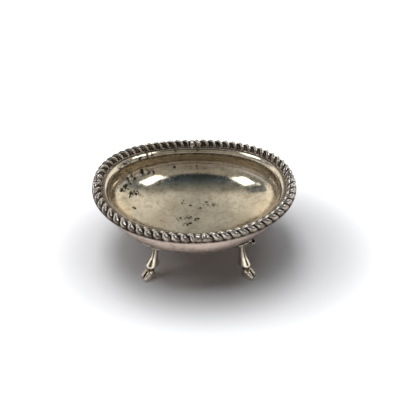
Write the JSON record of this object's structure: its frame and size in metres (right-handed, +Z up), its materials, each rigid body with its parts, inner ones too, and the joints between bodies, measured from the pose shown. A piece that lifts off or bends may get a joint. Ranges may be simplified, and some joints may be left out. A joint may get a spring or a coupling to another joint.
{
  "type": "salt cellar",
  "caption": "Oval footed open salt cellar: raised silver bowl with a plain lip inside a gadrooned border cast in sections, and cloven hoof legs soldered on shell plates.",
  "frame": {"origin": "on the table, under the middle of the bowl", "axes": "+Z up out of the bowl; +X along the bowl's long side; -Y is the side that faces the viewer in the picture"},
  "size_m": [0.086, 0.0662, 0.0415],
  "materials": {
    "bowl_silver": "worn sterling silver, warm tarnish inside with small dark corrosion pits, soft satin outside",
    "border_silver": "cast sterling silver, oxidised dark in the hollows, bright on the crests",
    "leg_silver": "cast sterling silver, polished, dark in the creases",
    "plate_silver": "thin sterling silver sheet, satin, tarnished"
  },
  "bodies": {
    "root": {"bowl": "bowl_silver", "border_front_right": "border_silver", "border_back_right": "border_silver", "border_back_left": "border_silver", "border_front_left": "border_silver", "leg_front_right": "leg_silver", "leg_front_left": "leg_silver", "leg_back_left": "leg_silver", "leg_back_right": "leg_silver", "shell_plate_front_right": "plate_silver", "shell_plate_front_left": "plate_silver", "shell_plate_back_left": "plate_silver", "shell_plate_back_right": "plate_silver"}
  },
  "joints": []
}
